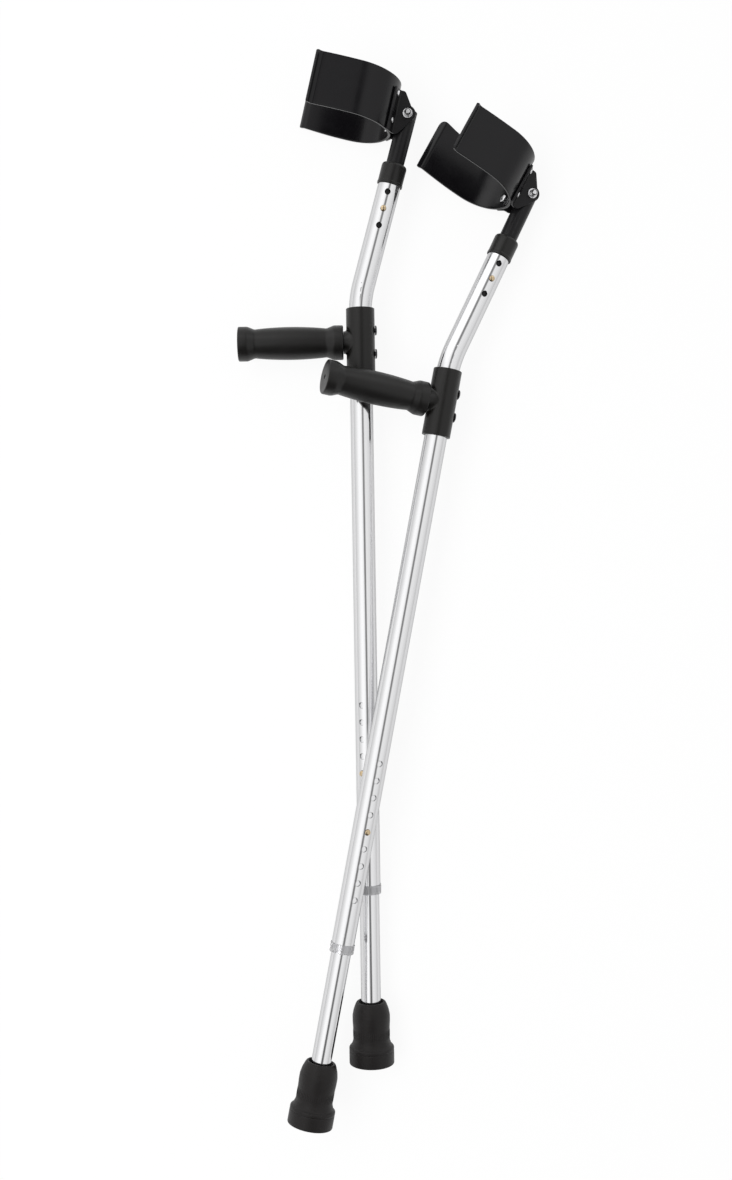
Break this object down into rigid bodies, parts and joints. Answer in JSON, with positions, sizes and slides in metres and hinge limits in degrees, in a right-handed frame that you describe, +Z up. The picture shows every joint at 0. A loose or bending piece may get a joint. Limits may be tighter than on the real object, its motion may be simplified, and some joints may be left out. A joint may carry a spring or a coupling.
{
  "type": "pair of forearm crutches",
  "caption": "Adjustable aluminium forearm crutches with open plastic cuffs, moulded handgrips and rubber tips, lying crossed on a flat surface as a pair.",
  "frame": {"origin": "middle of the pair's box at floor level, the pair lying crossed on the floor", "axes": "+Z up from the floor, +Y along the pair towards the cuffs, +X to the side away from the handgrips"},
  "size_m": [0.3366, 1.1778, 0.1105],
  "materials": {
    "polished_aluminium": "bright polished tube with soft lengthwise streaks",
    "black_coat": "satin black powder coat",
    "black_plastic": "satin black moulded plastic",
    "soft_grip": "matte black moulded soft grip",
    "black_rubber": "matte black rubber",
    "grey_plastic": "cloudy grey plastic",
    "brass": "bright brass",
    "bright_zinc": "bright zinc plated steel",
    "dark_steel": "blackened steel",
    "spring_steel": "bare spring steel"
  },
  "bodies": {
    "main_tubes": {"left_main_tube": "polished_aluminium", "left_leg_collar": "grey_plastic", "left_handle_bracket": "black_plastic", "left_grip": "soft_grip", "left_handle_screw_lower": "dark_steel", "left_handle_screw_upper": "dark_steel", "left_post_collar": "black_plastic", "right_main_tube": "polished_aluminium", "right_leg_collar": "grey_plastic", "right_handle_bracket": "black_plastic", "right_grip": "soft_grip", "right_handle_screw_lower": "dark_steel", "right_handle_screw_upper": "dark_steel", "right_post_collar": "black_plastic"},
    "left_leg": {"left_leg_tube": "polished_aluminium", "left_tip": "black_rubber", "left_tip_washer": "bright_zinc", "left_leg_spring": "spring_steel"},
    "left_leg_snap": {"left_leg_button": "brass"},
    "left_post": {"left_cuff_post": "black_coat", "left_post_plug": "black_plastic", "left_post_spring": "spring_steel", "left_pivot_bolt": "bright_zinc", "left_pivot_washer": "bright_zinc", "left_pivot_nut": "bright_zinc"},
    "left_post_snap": {"left_post_button": "brass"},
    "left_cuff_set": {"left_cuff": "black_plastic", "left_near_plate": "black_coat", "left_far_plate": "black_coat", "left_rivet_near_upper": "bright_zinc", "left_rivet_near_lower": "bright_zinc", "left_rivet_far_upper": "bright_zinc", "left_rivet_far_lower": "bright_zinc"},
    "right_leg": {"right_leg_tube": "polished_aluminium", "right_tip": "black_rubber", "right_tip_washer": "bright_zinc", "right_leg_spring": "spring_steel"},
    "right_leg_snap": {"right_leg_button": "brass"},
    "right_post": {"right_cuff_post": "black_coat", "right_post_plug": "black_plastic", "right_post_spring": "spring_steel", "right_pivot_bolt": "bright_zinc", "right_pivot_washer": "bright_zinc", "right_pivot_nut": "bright_zinc"},
    "right_post_snap": {"right_post_button": "brass"},
    "right_cuff_set": {"right_cuff": "black_plastic", "right_near_plate": "black_coat", "right_far_plate": "black_coat", "right_rivet_near_upper": "bright_zinc", "right_rivet_near_lower": "bright_zinc", "right_rivet_far_upper": "bright_zinc", "right_rivet_far_lower": "bright_zinc"}
  },
  "joints": [
    {"name": "left_leg_slide", "type": "slide", "parent": "main_tubes", "child": "left_leg", "axis": [0.0157, -0.9996, -0.0229], "range_m": [-0.0762, 0.0762], "deforming": ["left_leg_button"]},
    {"name": "left_leg_press", "type": "slide", "parent": "left_leg", "child": "left_leg_snap", "axis": [0.4536, 0.0276, -0.8908], "range_m": [0, 0.0039], "stiffness_N_per_m": 1500, "deforming": ["left_leg_spring"]},
    {"name": "left_post_slide", "type": "slide", "parent": "main_tubes", "child": "left_post", "axis": [0.2521, 0.9675, 0.0221], "range_m": [-0.01905, 0.01905], "deforming": ["left_post_button"]},
    {"name": "left_post_press", "type": "slide", "parent": "left_post", "child": "left_post_snap", "axis": [-0.0257, 0.0295, -0.9992], "range_m": [0, 0.0039], "stiffness_N_per_m": 1500, "deforming": ["left_post_spring"]},
    {"name": "left_cuff_tilt", "type": "hinge", "parent": "left_post", "child": "left_cuff_set", "pos_m": [0.02041, 0.53143, 0.04958], "axis": [0.0004, -0.0229, 0.9997], "range_deg": [-21, 4]},
    {"name": "right_leg_slide", "type": "slide", "parent": "main_tubes", "child": "right_leg", "axis": [-0.1805, -0.9835, 0.0142], "range_m": [-0.0762, 0.0762], "deforming": ["right_leg_button"]},
    {"name": "right_leg_press", "type": "slide", "parent": "right_leg", "child": "right_leg_snap", "axis": [-0.3388, 0.0486, -0.9396], "range_m": [0, 0.0039], "stiffness_N_per_m": 1500, "deforming": ["right_leg_spring"]},
    {"name": "right_post_slide", "type": "slide", "parent": "main_tubes", "child": "right_post", "axis": [0.4264, 0.9003, -0.0873], "range_m": [-0.01905, 0.01905], "deforming": ["right_post_button"]},
    {"name": "right_post_press", "type": "slide", "parent": "right_post", "child": "right_post_snap", "axis": [-0.2736, 0.0363, -0.9612], "range_m": [0, 0.0039], "stiffness_N_per_m": 1500, "deforming": ["right_post_spring"]},
    {"name": "right_cuff_tilt", "type": "hinge", "parent": "right_post", "child": "right_cuff_set", "pos_m": [0.15646, 0.44775, 0.03289], "axis": [0.2736, -0.0363, 0.9612], "range_deg": [-16, 9]}
  ]
}
